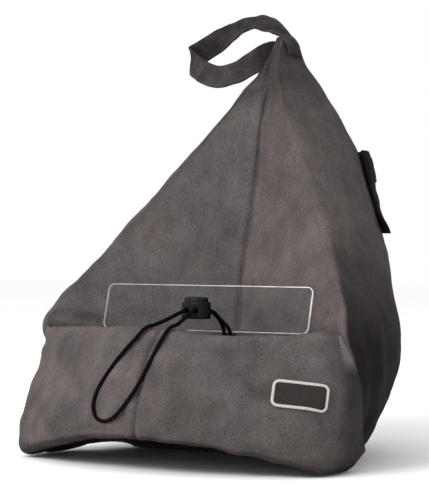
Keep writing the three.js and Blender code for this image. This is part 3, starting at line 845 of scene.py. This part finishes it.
def stitchRun(name, line, normals, material, look):
    # Short beads along a line: each is a tube whose radius swells from its ends, lying half in the cloth
    many, rings, sides = 1200, 7, 6
    path, length = evenly(line, many)
    gone = distances(line)
    up = sampled(normals, gone, np.linspace(0, gone[-1], many))
    count = int(length / look["pitch"])
    share = np.linspace(-1, 1, rings)
    middle = (np.arange(count) + 0.5) * look["pitch"]
    along = (middle[:, None] + share[None] * look["stitch"] / 2) / length * (many - 1)
    at = lambda values: sampled(values, np.arange(many), np.clip(along, 0, many - 1))
    spot, out = at(path), unit(at(up))
    side = unit(np.cross(out, at(np.gradient(path, axis=0))))
    swell = np.sqrt(np.clip(1 - share ** 2, 0.02, 1)) * look["thread"]
    points = spot[:, :, None] + ringRound(circle(sides), side, out) * swell[None, :, None, None]
    i, j = np.meshgrid(np.arange(rings - 1) * sides, np.arange(sides), indexing="ij")
    i, j = i.ravel(), j.ravel()
    k = (j + 1) % sides
    first = np.arange(count)[:, None, None] * rings * sides
    faces = first + np.stack([i + j, i + sides + j, i + sides + k, i + k], axis=1)
    ends = first + np.stack([np.arange(sides)[::-1] + (rings - 1) * sides, np.arange(sides)])
    run = meshPiece(name, points, faces.reshape(-1, 4).tolist() + ends.reshape(-1, sides).tolist())
    dress(run, material)
    return run


def strapBand():
    # A flat band carried along its line, with rounded folded edges and a row of stitches near each
    look = strapLook
    places = np.linspace(0, len(strapRows["x"]) - 1 - 1e-9, look["steps"])
    line = easySpline(np.stack([strapRows[k] for k in ("x", "y", "z")], axis=1), places)
    widths = easySpline(np.stack([strapRows[k] for k in ("wx", "wy", "wz")], axis=1), places)
    along = unit(np.gradient(line, axis=0))
    across = unit(widths - np.sum(widths * along, axis=1, keepdims=True) * along)
    out = np.cross(along, across)
    turn = circle(look["round"])
    wide = np.sign(np.cos(turn)) * np.abs(np.cos(turn)) ** 0.45
    high = np.sign(np.sin(turn)) * np.abs(np.sin(turn)) ** 0.35
    w = wide * look["width"] / 2
    h = high * look["thickness"] / 2 * (1 - 0.12 * bell(wide, 0.5))
    stitched = bell(np.abs(w) - look["width"] / 2 + look["stitchIn"], 0.0007)
    centre = line[:, None] + across[:, None] * w[None, :, None]
    crumple = wavy(centre, *look["crumple"])
    h = h[None] - np.sign(high)[None] * stitched[None] * 0.00045
    grid = centre + out[:, None] * (h + crumple)[..., None]
    band = gridPiece("strap_band", grid, caps=True, uvScale=(1, 12))
    paint(band, "tone_and_painted_light", 0.4 + 0.25 * waves(grid, 0.03, 33))
    # The band is painted darker than the panels, and painted shade darkens its back run further
    inward = smoothstep(grid[..., 1], 0.064, 0.074)
    paint(band, "shade", look["shade"] - 0.1 * inward + wavy(grid, *look["shadeWaves"]))
    dress(band, suedeMaterial)
    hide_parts("hand_strap")
    length = np.linalg.norm(np.diff(line, axis=0), axis=1).sum()
    normals = outward(grid)
    for face in (1, -1):
        for edge in (1, -1):
            off = np.abs(w - edge * (look["width"] / 2 - look["stitchIn"]))
            column = int(np.argmin(off + (high * face < 0)))
            name = "strap_stitches_" + ("outer" if face > 0 else "inner") + ("_high" if edge > 0 else "_low")
            along = slice(8, -8), column
            stitchRun(name, grid[along], normals[along], threadMaterial, look)
    return length


strapLength = strapBand()
print("hand strap made, length", round(float(strapLength), 4))


# Back pocket

pocketLook = {
    "low": 0.174, "high": 0.240, "edge": 5.85, "cloth": 0.0024, "band": 0.0038, "bandLow": 0.216,
    "seamOff": 0.0005, "mouth": 0.0104, "belly": 0.0024, "rise": 0.0012, "ear": 0.006,
    "columns": 170, "rows": 70,
}


def pocketPiece():
    # A band of cloth round the cushion's back, standing off it towards the mouth
    look = pocketLook
    v = np.linspace(0, 1, look["rows"])
    z = mix(look["low"], look["high"], v)
    s = np.linspace(1, -1, look["columns"])
    steering = bodyHalf(z)
    places = np.minimum(mix(8, look["edge"], np.abs(s)), 8 - 1e-6)
    flat = spline(steering, places)
    flat = flat * np.stack([np.where(s < 0, -1, 1), np.ones_like(s)], axis=-1)
    middle = np.concatenate([flat, np.broadcast_to(z[:, None, None], flat.shape[:2] + (1,))], axis=-1)
    tangent = unit(np.gradient(flat, axis=1))
    out = np.stack([-tangent[..., 1], tangent[..., 0], 0 * tangent[..., 0]], axis=-1)
    out = out * np.sign(np.sum(out[..., :2] * flat, axis=-1, keepdims=True))
    atFoot = 1 - smoothstep(v, 0, 0.3)
    ear = look["ear"] * atFoot[:, None] * smoothstep(np.abs(s), 0.86, 1)[None]
    gape = look["mouth"] * (1 - s ** 2)[None] * v[:, None] ** 1.2
    full = look["belly"] * (1 - s ** 4)[None] * np.sin(math.pi * v)[:, None]
    off = look["seamOff"] + gape + full + look["rise"] * v[:, None] + ear
    band = smoothstep(z, look["bandLow"] - 0.0004, look["bandLow"] + 0.0004)
    stitch = bell(z - look["bandLow"] - 0.003, 0.0006) + bell(z - look["high"] + 0.003, 0.0006)
    edges = bell(np.minimum(1 - np.abs(s), 0.2) - 0.035, 0.008)
    thick = mix(look["cloth"], look["band"], band) - 0.0005 * stitch
    crumple = 0.0004 * waves(middle, 0.02, 41)
    outer = middle + out * (off + thick[:, None] - 0.0005 * edges[None] + crumple)[..., None]
    inner = middle + out * (off + 0.1 * crumple)[..., None]
    edgeTurn = np.linspace(0, math.pi, 7)[1:-1]
    rim = [mix(inner[-1], outer[-1], (1 - math.cos(a)) / 2) + [0, 0, 0.0018 * math.sin(a)] for a in edgeTurn]
    profile = np.concatenate([inner, np.stack(rim), outer[::-1]])
    piece = gridPiece("pocket_panel", np.swapaxes(profile, 0, 1), caps=True)
    return piece, outer


pocket, pocketFace = pocketPiece()
for number, level in enumerate((pocketLook["bandLow"] + 0.003, pocketLook["high"] - 0.003)):
    row = int(np.argmin(np.abs(pocketFace[:, 85, 2] - level)))
    pocketOut = unit(np.cross(np.gradient(pocketFace[row], axis=0), [0, 0, 1.0]))
    pocketOut *= np.sign(np.sum(pocketOut * pocketFace[row] * [1, 1, 0], axis=1, keepdims=True))
    stitchRun(f"pocket_stitches_{number}", pocketFace[row, 4:-4], pocketOut[4:-4],
                                pocketMaterial, strapLook)
dress(pocket, pocketMaterial)
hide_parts("back_pocket")


# Page plate

plateLook = {
    "width": 0.185, "height": 0.036, "thickness": 0.002, "corner": 0.005, "lean": 15.2,
    "foot": (0.0015, -0.070, 0.0994), "chamfer": 0.0003,
}


def platePiece():
    # A rounded rectangle, carried through the sheet's thickness with a small chamfer at each face
    look = plateLook
    turn = circle(64)
    w, h, r = look["width"] / 2, look["height"] / 2, look["corner"]
    centre = np.sign(np.stack([np.cos(turn + 1e-6), np.sin(turn + 1e-6)], axis=1)) * [w - r, h - r]
    spoke = np.stack([np.cos(turn), np.sin(turn)], axis=1)
    t, c = look["thickness"] / 2, look["chamfer"]
    rings = []
    for depth, inset in ((-t, c), (-t + c, 0), (t - c, 0), (t, c)):
        flat = centre + spoke * (r - inset)
        rings.append(np.stack([flat[:, 0], np.full(64, depth), flat[:, 1] + h], axis=1))
    grid = np.stack(rings)
    lean = math.radians(look["lean"])
    y, z = grid[..., 1].copy(), grid[..., 2].copy()
    grid[..., 1] = y * math.cos(lean) + z * math.sin(lean)
    grid[..., 2] = z * math.cos(lean) - y * math.sin(lean)
    grid += np.array(look["foot"])
    piece = gridPiece("clear_plate", grid, caps=True)
    piece.data.materials.append(rimMaterial)
    piece.data.materials.append(faceMaterial)
    piece.data.polygons.foreach_set("use_smooth", [False] * len(piece.data.polygons))
    for polygon in piece.data.polygons[-2:]:
        polygon.material_index = 1
    return piece


plate = platePiece()
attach(plate, "pillow")
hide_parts("page_plate")
print("page plate made")


# Elastic cord

# Out of the crevice, under the plate, up to the lock, through its left hole, round the loop that hangs over
# the ledge, and back through the right hole to the crevice
cordRoute = np.array([
    (-0.0022, -0.0304, 0.082), (-0.0016, -0.0274, 0.088), (0.001, -0.0294, 0.093),
    (0.007, -0.04, 0.0952), (0.015, -0.055, 0.0952), (0.02, -0.064, 0.0952),
    (0.0226, -0.0698, 0.0956), (0.0232, -0.0731, 0.0984), (0.0222, -0.0731, 0.1024),
    (0.0184, -0.0718, 0.108), (0.0128, -0.0718, 0.1134), (0.0076, -0.0752, 0.116),
    (0.0048, -0.0815, 0.1164), (0.0046, -0.09, 0.1164), (0.0044, -0.0985, 0.1163),
    (0.0015, -0.106, 0.1136), (-0.0026, -0.113, 0.11), (-0.007, -0.121, 0.1066),
    (-0.0098, -0.1324, 0.1038), (-0.014, -0.1398, 0.0958), (-0.0217, -0.1455, 0.0853),
    (-0.0309, -0.1518, 0.0703), (-0.0376, -0.1566, 0.0553), (-0.038, -0.1594, 0.0455),
    (-0.033, -0.1622, 0.0384), (-0.025, -0.1638, 0.0364), (-0.0163, -0.1642, 0.04),
    (-0.0076, -0.1617, 0.0503), (0.001, -0.1566, 0.0652), (0.006, -0.1486, 0.082),
    (0.0094, -0.1398, 0.096), (0.0098, -0.13, 0.104), (0.0098, -0.118, 0.1068),
    (0.0104, -0.108, 0.1114), (0.0123, -0.1, 0.116), (0.0126, -0.09, 0.1164),
    (0.0128, -0.0815, 0.1163), (0.0156, -0.0756, 0.114), (0.0208, -0.0744, 0.1086),
    (0.0266, -0.0736, 0.103), (0.0288, -0.0735, 0.0986), (0.0278, -0.0696, 0.0956),
    (0.0248, -0.0626, 0.0952), (0.02, -0.0525, 0.0952), (0.0126, -0.0394, 0.0952),
    (0.006, -0.029, 0.093), (0.003, -0.0272, 0.088), (0.0022, -0.0304, 0.082),
])

cordLook = {
    "radius": 0.0015, "spans": 82, "steps": 1300, "round": 16, "strands": 4, "pitch": 0.0036,
    "steer": (0.7, -0.5, 0.5),  # never along the cord, so the tube doesn't turn over
}


def cordTube():
    # A circle carried along the route, raised a little where the strands of the braid cross
    look = cordLook
    many = 6000
    fine = easySpline(cordRoute, np.linspace(0, len(cordRoute) - 1 - 1e-9, many))
    line = evenly(fine, many + 1)[0]
    cut = int(round(many / look["spans"]))
    line, length = evenly(line[cut:-cut], look["steps"])
    along = unit(np.gradient(line, axis=0))
    side = unit(np.cross(along, look["steer"]))
    up = np.cross(side, along)
    turn = circle(look["round"])
    gone = np.linspace(0, length, look["steps"])[:, None]
    twist = turn[None] * look["strands"]
    travel = 2 * math.pi * gone / look["pitch"]
    strands = np.maximum(np.sin(twist + travel), np.sin(twist - travel))
    radius = look["radius"] * (1 + 0.05 * (strands - 0.6))
    grid = line[:, None] + ringRound(turn, side, up) * radius[..., None]
    tube = gridPiece("elastic_loop", grid, caps=True, uvScale=(look["strands"], length / look["pitch"]))
    return tube, line, length


cord, cordLine, cordLength = cordTube()
dress(cord, cordMaterial)
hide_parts("elastic_cord")
print("elastic cord made, length", round(float(cordLength), 4))


# Cord lock

lockLook = {"edge": 0.00035, "segments": 3, "sharp": 32}


def lockPiece(name, node, body):
    # The moulding's own form with its loose facets merged and its edges rounded
    shape = bmesh.new()
    shape.from_mesh(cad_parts[node].data)
    bmesh.ops.remove_doubles(shape, verts=shape.verts, dist=1e-6)
    mesh = bpy.data.meshes.new(name)
    shape.to_mesh(mesh)
    shape.free()
    mesh.materials.clear()
    mesh.polygons.foreach_set("use_smooth", [True] * len(mesh.polygons))
    mesh.set_sharp_from_angle(angle=math.radians(lockLook["sharp"]))
    piece = bpy.data.objects.new(name, mesh)
    bpy.context.scene.collection.objects.link(piece)
    bevel = piece.modifiers.new("rounded edges", "BEVEL")
    bevel.width, bevel.segments = lockLook["edge"], lockLook["segments"]
    bevel.limit_method, bevel.angle_limit = "ANGLE", math.radians(lockLook["sharp"])
    dress(piece, lockMaterial, body)
    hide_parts(node)
    return piece


lockPieces = [lockPiece("cord_lock_barrel", "lock_barrel", "pillow"),
              lockPiece("cord_lock_button", "lock_button", "button")]
cordLine[::4].tolist() + [cordLine[-1].tolist()]
print("cord lock dressed")


# Sewn patch

patchLook = {
    "width": 0.040, "height": 0.019, "corner": 0.004, "gap": 0.0006, "thickness": 0.0011,
    "centre": (0.1155, -0.121, 0.0575), "turn": 30, "lean": 17, "tilt": 7.5,
    "border": 0.0010, "threads": 132, "ridge": 0.00012,
    "near": 0.0011,  # how close the ledge's points are that carry a point of the patch
}


def turned(axis, degrees):
    # The matrix that turns about one axis
    a, b = math.cos(math.radians(degrees)), math.sin(math.radians(degrees))
    matrix = np.eye(3)
    first, second = [(1, 2), (2, 0), (0, 1)][axis]
    matrix[first, first] = matrix[second, second] = a
    matrix[second, first], matrix[first, second] = b, -b
    return matrix


def patchPieces():
    # A rounded rectangle carried onto the ledge: its depth at each point is the ledge's, averaged close by
    look = patchLook
    facingFrame = turned(2, look["turn"]) @ turned(0, -look["lean"]) @ turned(1, look["tilt"])
    local = (ledgeSkin.reshape(-1, 3) - look["centre"]) @ facingFrame
    facing = ledgeNormals.reshape(-1, 3) @ facingFrame[:, 1] < -0.2
    near = local[facing & (np.abs(local[:, 0]) < 0.026) & (np.abs(local[:, 2]) < 0.016)]

    def laid(flat, off):
        # flat: points across and up. off: how far they stand off the ledge
        apart = (flat[:, None, 0] - near[None, :, 0]) ** 2 + (flat[:, None, 1] - near[None, :, 2]) ** 2
        weight = np.exp(-apart / look["near"] ** 2) + 1e-12
        depth = (weight @ near[:, 1]) / weight.sum(axis=1)
        return np.stack([flat[:, 0], depth - off, flat[:, 1]], axis=1) @ facingFrame.T + look["centre"]

    turn = -circle(2000)
    w, h, corner = look["width"] / 2, look["height"] / 2, look["corner"]
    centre = np.stack([np.sign(np.cos(turn)) * (w - corner), np.sign(np.sin(turn)) * (h - corner)], axis=1)
    edge = centre + np.stack([np.cos(turn), np.sin(turn)], axis=1) * corner
    edge = np.concatenate([edge, edge[:1]])
    edge = np.stack([edge[:, 0], 0 * edge[:, 0], edge[:, 1]], axis=1)
    rim = evenly(edge, 141)[0][:-1, [0, 2]]
    top, gap = look["gap"] + look["thickness"], look["gap"]
    steps = [(share, top) for share in np.linspace(0.03, 0.97, 22)]
    steps += [(1.0, top - 0.0003), (1.0, gap), (0.5, gap), (0.03, gap)]
    cloth = np.stack([laid(rim * share, off) for share, off in steps])
    patch = gridPiece("plain_patch", cloth, caps=True)
    dress(patch, patchMaterial)
    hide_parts("sewn_patch")

    # The overlocked border: a tube round the edge, with a ridge for each turn of its thread
    loop = evenly(edge, 793)[0][:-1, [0, 2]] * [1 - look["border"] * 0.6 / w, 1 - look["border"] * 0.6 / h]
    line = laid(loop, gap + 0.75 * look["border"])
    way = unit(np.roll(line, -1, axis=0) - np.roll(line, 1, axis=0))
    out = np.broadcast_to(-facingFrame[:, 1], line.shape)
    side = unit(np.cross(way, out))
    out = np.cross(side, way)
    around = circle(14)
    gone = np.linspace(0, 1, 792, endpoint=False)[:, None]
    threads = np.abs(np.sin(math.pi * look["threads"] * gone + 0.35 * np.sin(around)[None]))
    radius = look["border"] + look["ridge"] * (threads - 0.5)
    ring = ringRound(around, 1.15 * side, 0.8 * out)
    border = gridPiece("patch_border", line[:, None] + ring * radius[..., None], loop=True)
    dress(border, paleMaterial)


patchPieces()
print("patch dressed")


# Stage, lights and camera

floorLook = {"size": 8.0, "drop": -0.0006}


def plainFloor(start):
    # White, mottled a little by large noise
    speckle = start.noise(0.3, 1.0)
    base = start.blend(colour(0.92, 0.92, 0.92), colour(0.95, 0.95, 0.95), speckle)
    return {"Base Color": base, "Roughness": 0.9}


half = floorLook["size"] / 2
floorPoints = np.array([[-half, -half], [half, -half], [half, half], [-half, half]])
floorPoints = np.column_stack([floorPoints, np.full(4, floorLook["drop"])])
floor = meshPiece("floor", floorPoints, [[0, 1, 2, 3]])
floor.data.materials.append(surface("floor_white", plainFloor))

studioLook = {
    "key": (-0.17, -0.80, 0.57),  # the way to the middle of the bright side
    "bright": 1.35,
    "dim": 0.5,
    "horizon": 1.0,
}

world = bpy.data.worlds.new("studio")
bpy.context.scene.world = world
world.use_nodes = True
world.node_tree.nodes.clear()
studio = Wire(world.node_tree)
# A tent of soft light: bright before the object, dim behind it, and an even white band at the horizon
way = studio.node("TexCoord", None, None, 0)
facing = studio.node("VectorMath", {"operation": "DOT_PRODUCT"}, {0: way, 1: studioLook["key"]}, 1)
facing = facing.spread(-0.5, 0.95)
height = studio.node("SeparateXYZ", None, {0: way}, 2)
tent = facing * (studioLook["bright"] - studioLook["dim"]) + studioLook["dim"]
band = 1 - height.spread(0.15, 0.32)
strength = tent * (1 - band) + band * studioLook["horizon"]
backdrop = studio.node("Background", None, {"Color": colour(1, 1, 1), "Strength": strength})
studio.node("OutputWorld", None, {"Surface": backdrop})
bpy.context.scene.view_settings.view_transform = "Standard"

lampLook = {"place": (-0.45, -1.9, 1.5), "target": (0, 0, 0.14), "size": 0.9, "power": 34}

light = bpy.data.lights.new("lamp_0", "AREA")
light.size, light.energy = lampLook["size"], lampLook["power"]
lamp = bpy.data.objects.new("lamp_0", light)
lamp.location = lampLook["place"]
away = np.subtract(lampLook["place"], lampLook["target"])
lamp.rotation_euler = (math.acos(away[2] / np.linalg.norm(away)), 0, math.atan2(away[1], away[0]) + math.pi / 2)
bpy.context.scene.collection.objects.link(lamp)

cameraLook = {
    "place": (0.80992, -1.37623, 0.180), "azimuth": 31.4, "lens": 144.0, "sensor": 36.0, "shift": -0.048,
}

camera = bpy.data.cameras.new("camera")
camera.sensor_fit = "VERTICAL"
camera.sensor_height = cameraLook["sensor"]
camera.lens = cameraLook["lens"]
camera.shift_y = cameraLook["shift"]
camera.clip_end = 50
cameraObject = bpy.data.objects.new("camera", camera)
cameraObject.location = cameraLook["place"]
cameraObject.rotation_euler = (math.pi / 2, 0, math.radians(cameraLook["azimuth"]))
bpy.context.scene.collection.objects.link(cameraObject)
bpy.context.scene.camera = cameraObject
print("stage and camera set")
